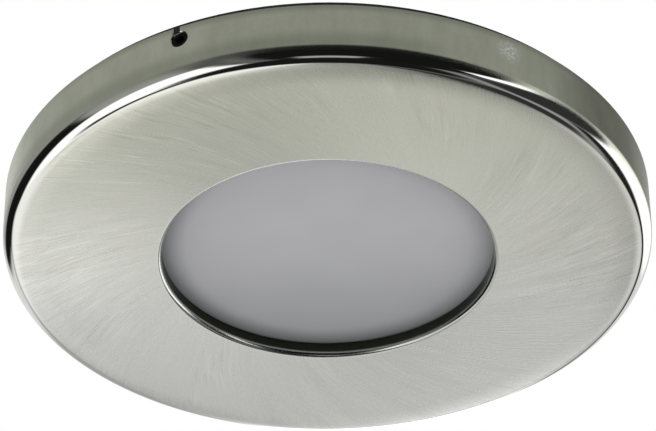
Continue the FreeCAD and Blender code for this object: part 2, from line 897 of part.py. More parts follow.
def make_clips():
    brackets = []
    pins = []
    rivets = []
    for side, angle in (("right", "0"), ("left", "180")):
        brackets.append(turned(clip_bracket(), angle))
        pins.append(turned(clip_pin(), angle))
        rivets.append(turned(clip_rivet(), angle))
        node(f"clip_arm_{side}", turned(clip_arm(side), angle))
        node(f"clip_pad_{side}", turned(clip_pad(), angle))
        torsion_spring(side, float(angle))
    node("clip_brackets", group(brackets))
    node("clip_pins", group(pins))
    node("clip_rivets", group(rivets))


def clip_bracket():
    half = "bracket_outside"
    base = box("clip_face", "bracket_face", f"-{half}", half, "bracket_base", "bracket_top")
    low, high = "pivot_level - bracket_ear_round", "pivot_level + bracket_ear_round"
    parts = [base]
    for near, far in ((f"-{half}", "-bracket_inside"), ("bracket_inside", half)):
        parts.append(box("clip_face", "pivot_place", near, far, low, high))
        parts.append(rod_along_y("bracket_ear_round", near, far, "pivot_place", "pivot_level"))
    pin_bore = rod_along_y("pin_radius", f"-{half}", half, "pivot_place", "pivot_level")
    rivet_hole = rod_along_x("rivet_radius", "can_radius", "pivot_place", "0", "rivet_level")
    return cut(fuse(parts), [group([pin_bore, rivet_hole])])


def clip_pin():
    half = "bracket_outside"
    near, far = f"-{half} - pin_head", f"{half} + pin_head"
    shank = rod_along_y("pin_radius", near, far, "pivot_place", "pivot_level")
    near_head = rod_along_y("pin_head_radius", near, f"-{half}", "pivot_place", "pivot_level")
    far_head = rod_along_y("pin_head_radius", half, far, "pivot_place", "pivot_level")
    return fuse([shank, near_head, far_head])


def clip_rivet():
    crown = "bracket_face + rivet_head"
    shank = rod_along_x("rivet_radius", "clip_face - rivet_grip", crown, "0", "rivet_level")
    head = rod_along_x("rivet_head_radius", "bracket_face", crown, "0", "rivet_level")
    return fuse([shank, head])


def clip_arm(side):
    body = doc.addObject("PartDesign::Body", f"arm_strip_{side}")
    back = "pivot_place - arm_back"
    sketch = section_sketch(
        body,
        "XZ_Plane",
        [
            (back, "arm_bottom"),
            ("arm_end", "arm_bottom"),
            ("arm_end + arm_tip", "arm_bottom + arm_tip_rise"),
            ("arm_end + arm_tip", "arm_top + arm_tip_rise"),
            ("arm_end", "arm_top"),
            (back, "arm_top"),
        ],
    )
    strip = body.newObject("PartDesign::Pad", f"arm_pad_{side}")
    strip.Profile = sketch
    strip.SideType = "Symmetric"
    bind(strip, Length="2 * arm_outside")
    body.Tip = strip
    parts = [body]
    front = "pivot_place + coil_outside"
    for near, far in (("-arm_outside", "-arm_inside"), ("arm_inside", "arm_outside")):
        parts.append(rod_along_y("coil_outside", near, far, "pivot_place", "pivot_level"))
        parts.append(box(back, front, near, far, "arm_bottom", "pivot_level"))
    bore_radius = "pin_radius + pin_clearance"
    bore = rod_along_y(bore_radius, "-arm_outside", "arm_outside", "pivot_place", "pivot_level")
    return cut(fuse(parts), [bore])


def clip_pad():
    inner, outer = "arm_end - pad_margin - pad_length", "arm_end - pad_margin"
    half = "(arm_outside - pad_margin)"
    return box(inner, outer, f"-{half}", half, "pad_bottom", "arm_bottom")


def middle_of_arc(start, tangent, end):
    """The middle point of the arc that leaves start along the tangent and ends at end."""
    chord = end - start
    along = chord * (1 / chord.Length)
    half_turn = tangent.getAngle(along)
    outward = tangent - along * tangent.dot(along)
    outward.normalize()
    return start + chord * 0.5 + outward * (chord.Length / 2 * math.tan(half_turn / 2))


def biarc(start, start_tangent, end, end_tangent):
    """Two arcs that run smoothly from one point and direction to another."""
    span = end - start
    both = start_tangent + end_tangent
    spread = 2 * (1 - start_tangent.dot(end_tangent))
    along = span.dot(both)
    reach = (math.sqrt(along**2 + spread * span.dot(span)) - along) / spread
    joint = (start + start_tangent * reach + end - end_tangent * reach) * 0.5
    first = Part.Arc(start, middle_of_arc(start, start_tangent, joint), joint)
    second = Part.Arc(end, middle_of_arc(end, end_tangent * -1, joint), joint)
    return [first.toShape(), second.toShape()]


def torsion_spring(side, angle):
    """One wire: a leg up the bracket, the coil round the pin, and a leg out along the arm."""
    radius = value("coil_radius")
    pitch = value("coil_pitch")
    wire = value("wire_radius")
    quarters = round(4 * value("coil_turns")) + 1
    first_y = -quarters * pitch / 8
    centre = FreeCAD.Vector(value("pivot_place"), 0, value("pivot_level"))

    def coil_point(quarter):
        around_pin = math.pi + quarter * math.pi / 2
        y = first_y + quarter * pitch / 4
        return centre + FreeCAD.Vector(radius * math.cos(around_pin), y, radius * math.sin(around_pin))

    def coil_tangent(quarter):
        around_pin = math.pi + quarter * math.pi / 2
        climb = pitch / math.tau
        tangent = FreeCAD.Vector(-radius * math.sin(around_pin), climb, radius * math.cos(around_pin))
        return tangent.normalize()

    start, start_way = coil_point(0), coil_tangent(0)
    end, end_way = coil_point(quarters), coil_tangent(quarters)
    edges = [Part.makeLine(start - start_way * value("coil_rear_leg"), start)]
    for quarter in range(quarters):
        edges += biarc(
            coil_point(quarter),
            coil_tangent(quarter),
            coil_point(quarter + 1),
            coil_tangent(quarter + 1),
        )
    edges.append(Part.makeLine(end, end + end_way * value("coil_front_leg")))
    path = Part.Wire(Part.__sortEdges__(edges))
    section = Part.Wire(Part.makeCircle(wire, start - start_way * value("coil_rear_leg"), start_way))
    item = doc.addObject("Part::Feature", f"spring_wire_{side}")
    item.Shape = path.makePipeShell([section], True, False)
    item.Placement = FreeCAD.Placement(FreeCAD.Vector(), FreeCAD.Rotation(FreeCAD.Vector(0, 0, 1), angle))
    node(f"clip_spring_{side}", item)
    print(f"spring {side}: least gap between turns {least_gap(coil_point, quarters, wire):.2f} mm")


def least_gap(coil_point, quarters, wire):
    """The least distance between the surfaces of turns of the coil."""
    steps = 8
    points = [coil_point(index / steps) for index in range(quarters * steps + 1)]
    apart = [
        (points[later] - points[index]).Length
        for index in range(len(points))
        for later in range(index + 2 * steps, len(points))
    ]
    return min(apart) - 2 * wire


def build():
    make_trim_cover()
    make_lens()
    make_retaining_ring()
    make_cover_seal()
    make_housing()
    make_lock_screws()
    make_light_source()
    make_driver()
    make_rear_cover()
    make_gland()
    make_clips()


def check_and_write():
    doc.recompute()
    failed = [item.Name for item in doc.Objects if {"Invalid", "Error"} & set(item.State)]
    if failed:
        raise RuntimeError(f"these objects failed: {failed}")
    os.makedirs("parts", exist_ok=True)
    for item in nodes:
        if item.Shape.isNull() or not item.Shape.isValid():
            raise RuntimeError(f"{item.Label} has no valid shape")
        item.Shape.exportStep(f"parts/{item.Label}.step")
        print(f"{item.Label}: {len(item.Shape.Solids)} solid(s), {item.Shape.Volume:.2f} mm3")


build()
check_and_write()
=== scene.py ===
import math

import bmesh
import bpy
from mathutils import Matrix, Vector


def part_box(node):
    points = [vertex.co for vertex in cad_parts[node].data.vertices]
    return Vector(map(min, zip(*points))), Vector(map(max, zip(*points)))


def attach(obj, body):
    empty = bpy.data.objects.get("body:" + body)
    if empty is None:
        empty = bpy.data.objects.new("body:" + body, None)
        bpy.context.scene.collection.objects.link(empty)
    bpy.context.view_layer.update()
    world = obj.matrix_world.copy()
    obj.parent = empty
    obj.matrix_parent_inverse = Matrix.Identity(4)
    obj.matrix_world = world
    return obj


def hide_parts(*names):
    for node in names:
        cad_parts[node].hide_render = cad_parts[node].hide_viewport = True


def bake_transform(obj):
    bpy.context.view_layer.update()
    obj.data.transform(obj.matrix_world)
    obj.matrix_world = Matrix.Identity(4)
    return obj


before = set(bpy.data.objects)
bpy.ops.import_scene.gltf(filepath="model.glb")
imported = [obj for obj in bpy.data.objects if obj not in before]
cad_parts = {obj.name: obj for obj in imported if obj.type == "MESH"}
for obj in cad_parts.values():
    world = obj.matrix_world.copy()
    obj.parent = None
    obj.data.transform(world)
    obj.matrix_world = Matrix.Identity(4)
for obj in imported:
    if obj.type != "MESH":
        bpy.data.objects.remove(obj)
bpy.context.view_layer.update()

MM = 0.001

# Trim cover, pressed from sheet, in millimetres.
RIM_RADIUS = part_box("trim_cover")[1].x / MM
RIM_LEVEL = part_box("trim_cover")[1].z / MM
FACE_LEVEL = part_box("trim_cover")[0].z / MM
SHEET = 1.0
EDGE_RADIUS = 2.3
APERTURE_RADIUS = 25.65
LIP_RADIUS = 0.7
LIP_RISE = 2.4
HOLD = 0.04  # support points stand this far from each tangent line
LATHE_SEGMENTS = 720
LIP_STEPS = 16
EDGE_STEPS = 28
BEVEL_STEPS = 5
INNER_EDGE_STEPS = 10
ROLL_RADIUS = 43.6  # from here out the pressed face turns up gently, before its edge
ROLL_TURN = math.radians(7)
ROLL_STEPS = 24
RIM_BEVEL = 0.15
STUD_RADIUS = 1.0
STUD_LENGTH = 2.8
STUD_CIRCLE = 33.2
STUD_ANGLES = (45, 135, 225, 315)
STUD_SEGMENTS = 32

# Keyholes in the skirt.
NOTCH_ANGLES = (245, 5, 125)
NOTCH_RADIUS = 1.3
NOTCH_LEVEL = RIM_LEVEL - 2.3
NOTCH_CHAMFER = 0.14
NOTCH_DEPTH = 3.0
NOTCH_STEPS = 40
SLIT_WIDTH = 1.0
SLIT_OFFSET = -0.48
SLIT_TOP = RIM_LEVEL + 1.0

# Torsion springs of the clips.
PIVOT_X = 33.4
PIVOT_Z = 6.0
COIL_RADIUS = 1.8
COIL_PITCH = 1.3
COIL_QUARTERS = 17
WIRE_RADIUS = 0.4
REAR_LEG = 4.4
FRONT_LEG = 8.0
QUARTER_STEPS = 8
REAR_LEG_STEPS = 6
FRONT_LEG_STEPS = 10
COIL_REACH = COIL_QUARTERS * COIL_PITCH / 8  # half the coil's length
WIRE_SIDES = 16
WIRE_END_SIZE = 0.72  # an end's radius, as a share of the wire's
WIRE_END_LENGTH = 0.25 * WIRE_RADIUS

# The camera, fitted to the rim and the aperture, with its distance and target in metres.
VIEW_ELEVATION = math.radians(36.42)
VIEW_DISTANCE = 0.48285
VIEW_TARGET = Vector((0, 0.0000967, -0.002052))
VIEW_ROLL = -0.00739
FOCAL_LENGTH = 169.96
SENSOR_WIDTH = 36
SHIFT_X = 0.00102
NEAR_CLIP = 0.01
FAR_CLIP = 20

SHARP_ANGLE = math.radians(32)  # edges that turn by more stay sharp
FLAT_ANGLE = math.radians(0.5)  # faces that turn by less are joined into one
CORNER_ANGLE = math.radians(40)  # corners that turn by more are rounded

# A white floor far below: its level and half its width in metres, its tone and its glow.
FLOOR_LEVEL = -1.3
FLOOR_SIZE = 12
FLOOR_TONE = 0.86
FLOOR_GLOW = 0.35

# Soft lamps, each with its place in metres, size and power.
LAMPS = [
    ("key", (-0.7, -0.7, -0.15), 0.6, 4.0),
    ("fill", (0.8, -0.3, -0.3), 0.6, 2.5),
    ("top", (0.2, 0.4, 1.2), 0.8, 9.0),
]

# The world's even light on the object, and what polished metal sees where no card stands.
EVEN_LEVEL = 0.62
BACKDROP_LEVEL = 0.41

# What polished metal sees round it: soft panels and dark cards, each with its range of azimuth
# (0 straight ahead, 90 to the right) and elevation in degrees, lean, softness and brightness.
STUDIO_CARDS = [
    ("dark behind on the right", (116, 200), (-95, 26), 0.0, 7, 0.01),
    ("dark behind on the left", (-200, -150), (-95, 26), 0.0, 7, 0.01),
    ("dim wall on the left", (-150, -134), (-95, 30), 0.0, 6, 0.12),
    ("pale wall above on the left", (-140, -36), (20, 62), 0.0, 6, 0.48),
    ("dark card on the left", (-95, -32), (-31, 10), 0.0, 4, 0.01),
    ("bright panel low on the left", (-138, -30), (-65, -31), 0.0, 4, 1.6),
    ("backdrop ahead", (-33, 14), (-22, 24), 0.0, 3, 0.95),
    ("backdrop ahead on the right", (14, 31), (-22, 24), 0.0, 3, 0.9),
    ("pale wall above ahead", (-40, 18), (24, 62), 0.0, 6, 0.85),
    ("bright panel on the right", (31, 79), (-28, 27), 0.0, 3, 1.6),
    ("dark card on the right", (28, 79), (-44, -29), 0.0, 3, 0.02),
    ("table on the right", (5, 110), (-64, -44), 0.0, 4, 0.4),
    ("dark edge of the table", (8, 62), (-66, -48), 0.0, 3, 0.04),
    ("dark gap on the right", (80, 116), (-60, 18), 0.0, 4, 0.04),
    ("narrow strip lamp", (109, 117), (-42, 30), 0.28, 2, 1.8),
    ("dark upper right", (40, 85), (30, 60), 0.0, 8, 0.16),
    ("ground", (-200, 200), (-95, -67), 0.0, 4, 0.012),
    ("pale screen below on the left", (-32, -4), (-68, -46), 0.0, 4, 1.3),
    ("screen on the left of the face's view", (-44, -9), (-44, -26), 0.0, 4, 1.25),
    ("screen in the face's view", (-8, 8), (-46, -22), 0.0, 4, 0.95),
    ("screen on the right of the face's view", (8, 26), (-46, -26), 0.0, 4, 0.93),
    ("dim screen ahead on the left", (-20, -5), (-24, 10), 0.0, 3, 0.5),
    ("tall window ahead", (-2, 10), (-14, 20), 0.0, 3, 3.0),
    ("thin dark card low on the left", (-56, -33), (-68, -50), 0.0, 3, 0.06),
    ("thin dark card on the right", (5, 15), (-36, 2), 0.76, 2, 0.02),
    ("lamp below on the right", (163, 200), (-69, -56), 0.0, 3, 0.5),
    ("lamp below on the left", (-200, -166), (-69, -56), 0.0, 3, 0.5),
]


# ---------------------------------------------------------------- node trees


class Nodes:
    """Short calls for a node tree, where an input is a number, a colour or another node's output."""

    def __init__(self, tree):
        self.tree = tree
        tree.nodes.clear()

    def add(self, kind, inputs=None, **settings):
        node = self.tree.nodes.new(kind)
        for name, setting in settings.items():
            setattr(node, name, setting)
        for socket, source in (inputs or {}).items():
            if isinstance(source, bpy.types.NodeSocket):
                self.tree.links.new(source, node.inputs[socket])
            else:
                node.inputs[socket].default_value = source
        return node

    def math(self, operation, *sources):
        return self.add("ShaderNodeMath", dict(enumerate(sources)), operation=operation).outputs[0]

    def plus(self, first, second):
        return self.math("ADD", first, second)

    def times(self, first, *others):
        for other in others:
            first = self.math("MULTIPLY", first, other)
        return first

    def larger(self, first, second):
        return self.math("MAXIMUM", first, second)

    def less(self, first, second):
        return self.math("SUBTRACT", first, second)

    def vector(self, operation, *sources):
        return self.add("ShaderNodeVectorMath", dict(enumerate(sources)), operation=operation).outputs[0]

    def scale(self, vector, factor):
        inputs = {0: vector, "Scale": factor}
        return self.add("ShaderNodeVectorMath", inputs, operation="SCALE").outputs[0]

    def distance(self, first, second):
        inputs = {0: first, 1: second}
        return self.add("ShaderNodeVectorMath", inputs, operation="DISTANCE").outputs["Value"]

    def combine(self, x, y, z):
        return self.add("ShaderNodeCombineXYZ", {"X": x, "Y": y, "Z": z}).outputs[0]

    def split(self, vector):
        return self.add("ShaderNodeSeparateXYZ", {0: vector}).outputs

    def noise(self, vector, scale, detail=2.0, rough=0.5, distortion=0.0):
        inputs = {"Vector": vector, "Scale": scale, "Detail": detail}
        inputs.update({"Roughness": rough, "Distortion": distortion})
        return self.add("ShaderNodeTexNoise", inputs).outputs["Fac"]

    def smooth(self, value, source, target=(0.0, 1.0), kind="SMOOTHSTEP"):
        """A smooth step over the target's pair as value goes over the source's pair."""
        inputs = {"Value": value, "From Min": source[0], "From Max": source[1]}
        inputs.update({"To Min": target[0], "To Max": target[1]})
        return self.add("ShaderNodeMapRange", inputs, interpolation_type=kind).outputs[0]

    def straight(self, value, source, target=(0.0, 1.0)):
        """A straight step over the target's pair as value goes over the source's pair."""
        return self.smooth(value, source, target, "LINEAR")

    def mix(self, factor, first, second):
        """Between two colours."""
        return self.add("ShaderNodeMix", {0: factor, 6: first, 7: second}, data_type="RGBA").outputs[2]

    def bump(self, height, strength, distance):
        inputs = {"Height": height, "Strength": strength, "Distance": distance}
        return self.add("ShaderNodeBump", inputs).outputs[0]


def new_material(name):
    """A material, its nodes, and its object coordinates in millimetres."""
    material = bpy.data.materials.new(name)
    material.use_nodes = True
    nodes = Nodes(material.node_tree)
    place = nodes.add("ShaderNodeTexCoord").outputs["Object"]
    return material, nodes, nodes.scale(place, 1 / MM)


def round_the_axis(nodes, place):
    """The coordinates across, ahead and up, and the distance from the middle axis."""
    across, ahead, up = nodes.split(place)
    flat = nodes.combine(across, ahead, 0.0)
    radius = nodes.add("ShaderNodeVectorMath", {0: flat}, operation="LENGTH").outputs["Value"]
    return across, ahead, up, radius


def finish_material(nodes, **inputs):
    """Ends a material with the surface shader; an input's underscores stand for spaces."""
    named = {name.replace("_", " "): source for name, source in inputs.items()}
    shader = nodes.add("ShaderNodeBsdfPrincipled", named)
    nodes.add("ShaderNodeOutputMaterial", {"Surface": shader.outputs[0]})


def colour(red, green, blue):
    """A linear colour from one written in 0 to 255 as seen on a screen."""

    def linear(level):
        level = level / 255
        return level / 12.92 if level <= 0.04045 else ((level + 0.055) / 1.055) ** 2.4

    return (linear(red), linear(green), linear(blue), 1)


# ---------------------------------------------------------------- materials

# Where nearly all of a noise's values lie, and a narrower pair that gives more contrast.
NOISE_SPAN = (0.3, 0.7)
NOISE_MIDDLE = (0.35, 0.65)

FINE_BUMP = (0.12, 0.00002)  # strength, and height in metres

# Bands of the trim in which one finish passes into the next, and where the bore's painted shade begins, in
# millimetres.
EDGE_START = RIM_RADIUS - EDGE_RADIUS
SKIRT_START = FACE_LEVEL + EDGE_RADIUS
LIP_END = APERTURE_RADIUS + LIP_RADIUS
EDGE_BAND = (EDGE_START - 0.8, EDGE_START + 0.9)
SKIRT_BAND = (SKIRT_START - 1.2, SKIRT_START + 0.2)
LIP_BAND = (LIP_END + 0.15, LIP_END - 0.15)
BORE_BAND = (APERTURE_RADIUS + 0.3, APERTURE_RADIUS + 0.1)
BORE_RISE = (FACE_LEVEL + 0.55, FACE_LEVEL + 0.9)

# Brushed strokes: their swing from the radius, a middling radius, and each kind's length, width and seed.
STROKE_SWING = 0.6
STROKE_RADIUS = 37.0
FINE_STROKES = (5.0, 0.22, 0.0)
COARSE_STROKES = (9.0, 0.6, 7.0)
BROAD_STROKES = (25.0, 4.0, 13.0)
SCRATCHES = (7.0, 0.6, 21.0)
BRIGHT_SCRATCHES = (0.58, 0.7)
DARK_SCRATCHES = (0.42, 0.3)
SCRATCH_STRENGTH = 0.15
WORN_STRENGTH = 0.22  # added to it where the face is worn
PATCHES = (0.45, 0.6)
PATCH_SCALE = 0.07
UNWORN_SHOWING = 0.4  # how far strokes show outside the patches

# Painted highlight: the face is made brighter on its left, and along one diagonal by a share for each square
# millimetre.
LEFT_HIGHLIGHT_GAIN = 0.14
DIAGONAL_HIGHLIGHT_GAIN = 0.00013

# Roughness of the nickel.
FACE_ROUGH = (0.25, 0.31)
SKIRT_ROUGH = (0.2, 0.27)
POLISH_DROP = -0.28
LEAST_ROUGH = 0.06
LIP_ROUGH = 0.16

# Parts of the face and skirt that wear more, and where the painted highlight, painted warm reflection and
# painted shade fall, by their coordinates in millimetres.
SIDES_ACROSS = (24.0, 40.0)
SIDES_AHEAD = (19.0, 5.0)
LEFT_HIGHLIGHT_ACROSS = (0.0, -20.0)
CORNER_ACROSS = (-4.0, -16.0)
CORNER_AHEAD = (-12.0, -26.0)
WARM_REFLECTION_AHEAD = (30.0, -45.0)
LIP_SHADE_RIGHT = (4.0, 18.0)
LIP_SHADE_NEAR = (-8.0, -20.0)
NEAR_RIM = (RIM_LEVEL - 1.6, RIM_LEVEL)
NEAR_RIM_AHEAD = (-20.0, -44.0)
NEAR_EDGE = (FACE_LEVEL + 5.7, FACE_LEVEL + 3.2)
NEAR_EDGE_ACROSS = (22.0, 8.0)

# A small spot of near-white specks on the skirt.
SPECK_SPOT_PLACE = (26.4, -42.5, -4.2)
SPECK_SPOT_BAND = (2.6, 0.52)

# Tones of the nickel, from 0 to 255 as seen on a screen; a pair's second one is nearer or brighter, and the
# nearer brushed tones hold a painted warm reflection.
DULL = ((192, 192, 188), (190, 191, 177))
BRIGHT = ((211, 211, 208), (207, 208, 195))
POLISHED = (213, 213, 208)
# Painted shade on one side of the lip.
LIP_SHADE_TONE = (112, 114, 108)
SATIN = ((187, 191, 172), (203, 207, 189))
SHADED_SATIN = (140, 143, 128)
SPECK_SPOT_TONE = (252, 252, 248)
# Painted shade of the bore's wall.
BORE_SHADE_TONE = (64, 68, 56)

# The lens: its tones, its painted shadow tones, and where the painted shadow falls, in millimetres.
LENS_TONES = ((186, 186, 190), (193, 193, 196))
LENS_SHADOW = (146, 147, 149)
LENS_EDGE_SHADOW = (124, 125, 126)
LENS_SHADOW_AHEAD = (-12.0, 30.0)
LENS_EDGE_BAND = (21.5, 25.6)
LENS_EDGE_AHEAD = (-20.0, -6.0)
LENS_EDGE_ACROSS = (4.0, 22.0)


def cloudy(nodes, noise, tones, span=NOISE_SPAN):
    """A pair of tones mixed by a noise."""
    return nodes.mix(nodes.straight(noise, span), colour(*tones[0]), colour(*tones[1]))


def brush_strokes(nodes, across, ahead, radius, kind):
    """Strokes that run out from the middle, all swung the same way from the radius."""
    length, width, seed = kind
    turn = nodes.math("ARCTAN2", ahead, across)
    swing = nodes.times(nodes.math("LOGARITHM", radius, math.e), STROKE_SWING)
    turn = nodes.plus(turn, swing)
    turns = STROKE_RADIUS / width
    beside_x = nodes.times(nodes.math("COSINE", turn), turns)
    beside_y = nodes.times(nodes.math("SINE", turn), turns)
    along = nodes.plus(nodes.math("DIVIDE", radius, length), seed)
    return nodes.noise(nodes.combine(beside_x, beside_y, along), 1.0, 2.0, 0.6)


def across_strokes(nodes, across, ahead):
    """The direction across the strokes, along which their tiny flanks tilt."""
    x = nodes.plus(nodes.times(across, STROKE_SWING), nodes.times(ahead, -1.0))
    y = nodes.plus(nodes.times(ahead, STROKE_SWING), across)
    return nodes.vector("NORMALIZE", nodes.combine(x, y, 0.0))


def satin_skirt(nodes, place, grain):
    """The skirt's tone: mottled, with painted shade towards the rim and the rolled edge, and a small spot of
    near-white specks.
    """
    across, ahead, up = nodes.split(place)
    cloud = nodes.noise(nodes.vector("MULTIPLY", place, (1.0, 1.0, 0.4)), 0.3, 3.0, 0.6)
    mottle = nodes.plus(nodes.times(grain, 0.4), nodes.times(cloud, 0.6))
    tone = cloudy(nodes, mottle, SATIN, NOISE_MIDDLE)
    specks = nodes.smooth(nodes.noise(place, 2.6, 2.0, 0.5), (0.48, 0.64), (0.2, 1.0))
    speck_spot = nodes.times(nodes.smooth(nodes.distance(place, SPECK_SPOT_PLACE), SPECK_SPOT_BAND), specks)
    tone = nodes.mix(speck_spot, tone, colour(*SPECK_SPOT_TONE))
    # Painted shade on the skirt: near the rim on the near side, and above the rolled edge.
    painted_rim_shade = nodes.times(nodes.smooth(up, NEAR_RIM), nodes.smooth(ahead, NEAR_RIM_AHEAD), 0.6)
    painted_edge_shade = nodes.times(nodes.smooth(up, NEAR_EDGE, (0.0, 0.45)), nodes.smooth(across, NEAR_EDGE_ACROSS))
    return nodes.mix(nodes.larger(painted_rim_shade, painted_edge_shade), tone, colour(*SHADED_SATIN))


def satin_nickel():
    """Brushed on the face, satin on the skirt, polished on the rolled edge and the lip, with a painted
    highlight, a painted warm reflection and painted shade.
    """
    material, nodes, place = new_material("satin_nickel")
    across, ahead, up, radius = round_the_axis(nodes, place)

    skirt = nodes.smooth(up, SKIRT_BAND)
    lip = nodes.smooth(radius, LIP_BAND)
    below_skirt = nodes.less(1.0, skirt)
    polish = nodes.larger(nodes.times(nodes.smooth(radius, EDGE_BAND), below_skirt), lip)
    # Painted shade on the bore's wall above the lip.
    painted_bore_shade = nodes.times(nodes.smooth(up, BORE_RISE), nodes.smooth(radius, BORE_BAND))

    sides = nodes.times(
        nodes.smooth(nodes.math("ABSOLUTE", across), SIDES_ACROSS),
        nodes.smooth(nodes.math("ABSOLUTE", ahead), SIDES_AHEAD),
    )
    corner = nodes.times(nodes.smooth(across, CORNER_ACROSS, (0.0, 0.8)), nodes.smooth(ahead, CORNER_AHEAD))
    worn = nodes.larger(sides, corner)
    patches = nodes.smooth(nodes.noise(place, PATCH_SCALE, 1.0), PATCHES, (0.0, 0.8))
    patches = nodes.larger(patches, worn)
    showing = nodes.plus(nodes.times(patches, 1.0 - UNWORN_SHOWING), UNWORN_SHOWING)

    fine = brush_strokes(nodes, across, ahead, radius, FINE_STROKES)
    coarse = brush_strokes(nodes, across, ahead, radius, COARSE_STROKES)
    broad = brush_strokes(nodes, across, ahead, radius, BROAD_STROKES)
    scratches = brush_strokes(nodes, across, ahead, radius, SCRATCHES)
    strokes = nodes.plus(nodes.times(fine, 0.55), nodes.times(coarse, 0.45))
    bright_ones, dark_ones = (nodes.smooth(scratches, band) for band in (BRIGHT_SCRATCHES, DARK_SCRATCHES))
    scratched = nodes.times(nodes.less(bright_ones, dark_ones), patches)

    level = nodes.plus(nodes.times(strokes, 0.7), nodes.times(broad, 0.3))
    strength = nodes.plus(nodes.times(worn, WORN_STRENGTH), SCRATCH_STRENGTH)
    level = nodes.plus(nodes.times(scratched, strength), level)
    level = nodes.plus(nodes.times(nodes.less(level, 0.5), showing), 0.5)
    # Painted warm reflection: the brushed tones turn warmer towards the near side.
    painted_warm_reflection = nodes.smooth(ahead, WARM_REFLECTION_AHEAD)
    dull, bright = (nodes.mix(painted_warm_reflection, colour(*far), colour(*near)) for far, near in (DULL, BRIGHT))
    brushed = nodes.mix(nodes.straight(level, NOISE_MIDDLE), dull, bright)
    # Painted highlight: the brushed tone is raised on the face's left and along one diagonal.
    painted_left_highlight = nodes.times(sides, nodes.smooth(across, LEFT_HIGHLIGHT_ACROSS), LEFT_HIGHLIGHT_GAIN)
    painted_diagonal_highlight = nodes.times(across, ahead, DIAGONAL_HIGHLIGHT_GAIN)
    brushed = nodes.scale(brushed, nodes.plus(painted_left_highlight, nodes.plus(painted_diagonal_highlight, 1.0)))

    # Painted shade: the polished lip is darkened on its right and near side.
    painted_lip_shade = nodes.larger(
        nodes.smooth(across, LIP_SHADE_RIGHT, (0.0, 0.6)),
        nodes.smooth(ahead, LIP_SHADE_NEAR, (0.0, 0.5)),
    )
    grain = nodes.noise(place, 5.0, 3.0)
    tone = nodes.mix(polish, brushed, colour(*POLISHED))
    tone = nodes.mix(nodes.times(lip, painted_lip_shade), tone, colour(*LIP_SHADE_TONE))
    tone = nodes.mix(skirt, tone, satin_skirt(nodes, place, grain))
    tone = nodes.mix(painted_bore_shade, tone, colour(*BORE_SHADE_TONE))

    rough = nodes.plus(nodes.times(polish, POLISH_DROP), nodes.straight(strokes, NOISE_SPAN, FACE_ROUGH))
    satin_rough = nodes.straight(grain, NOISE_SPAN, SKIRT_ROUGH)
    rough = nodes.add("ShaderNodeMix", {0: skirt, 2: rough, 3: satin_rough}).outputs[0]
    rough = nodes.larger(nodes.larger(rough, LEAST_ROUGH), nodes.times(lip, LIP_ROUGH))

    on_face = nodes.times(nodes.less(1.0, polish), below_skirt)
    height = nodes.plus(nodes.times(scratched, 0.35), nodes.times(strokes, 0.6))
    height = nodes.times(height, nodes.times(on_face, showing))
    finish_material(
        nodes,
        Base_Color=tone,
        Metallic=1.0,
        Roughness=rough,
        Normal=nodes.bump(height, *FINE_BUMP),
        Tangent=across_strokes(nodes, across, ahead),
        Anisotropic=0.8,
    )
    return material


def frosted_glass():
    """Pale frost, with painted shadow making it greyer towards the edge and the far side."""
    material, nodes, place = new_material("frosted_glass")
    across, ahead, _, radius = round_the_axis(nodes, place)
    frost = nodes.noise(place, 9.0, 3.0, 0.6)
    tone = cloudy(nodes, nodes.noise(place, 0.06, 2.0), LENS_TONES)
    # Painted shadow on the lens's far side.
    tone = nodes.mix(nodes.smooth(ahead, LENS_SHADOW_AHEAD, (0.0, 0.75)), tone, colour(*LENS_SHADOW))
    # Painted shadow round the lens's edge, weaker on the near side and the right.
    edge = nodes.times(
        nodes.smooth(radius, LENS_EDGE_BAND, (0.0, 0.8)),
        nodes.smooth(ahead, LENS_EDGE_AHEAD, (0.1, 1.0)),
        nodes.smooth(across, LENS_EDGE_ACROSS, (1.0, 0.5)),
    )
    tone = nodes.mix(edge, tone, colour(*LENS_EDGE_SHADOW))
    finish_material(
        nodes,
        Base_Color=tone,
        Roughness=nodes.straight(frost, NOISE_SPAN, (0.38, 0.5)),
        Specular_IOR_Level=0.4,
        Normal=nodes.bump(frost, *FINE_BUMP),
        Subsurface_Weight=0.15,
        Subsurface_Radius=(0.002, 0.002, 0.002),
    )
    return material


def moulded(name, low, high, rough, grain=3.0, bump=0.15, distance=0.00003, specular=0.4):
    """Plastic, rubber or ceramic: a fine mould grain, with slight changes of tone and gloss."""
    material, nodes, place = new_material(name)
    speckle = nodes.noise(place, grain, 4.0, 0.6)
    finish_material(
        nodes,
        Base_Color=cloudy(nodes, nodes.noise(place, 0.15, 2.0), (low, high)),
        Roughness=nodes.straight(speckle, NOISE_SPAN, (rough - 0.06, rough + 0.06)),
        Specular_IOR_Level=specular,
        Normal=nodes.bump(speckle, bump, distance),
    )
    return material


def cast_metal():
    """Die-cast aluminium, blasted: a fine granular skin, duller in the hollows."""
    material, nodes, place = new_material("cast_metal")
    skin = nodes.noise(place, 2.6, 5.0, 0.65)
    cloud = nodes.noise(place, 0.12, 3.0)
    flow = nodes.noise(nodes.vector("MULTIPLY", place, (0.25, 0.25, 0.06)), 1.0, 3.0, 0.5, 0.8)
    blend = nodes.plus(nodes.times(cloud, 0.6), nodes.times(flow, 0.4))
    tone = cloudy(nodes, blend, ((168, 170, 172), (194, 195, 197)), NOISE_MIDDLE)
    edge = nodes.add("ShaderNodeNewGeometry").outputs["Pointiness"]
    tone = nodes.mix(nodes.smooth(edge, (0.52, 0.6), (0.0, 0.6)), tone, colour(222, 223, 224))
    finish_material(
        nodes,
        Base_Color=tone,
        Metallic=0.85,
        Roughness=nodes.straight(skin, NOISE_SPAN, (0.42, 0.58)),
        Normal=nodes.bump(skin, 0.35, 0.00006),
    )
    return material


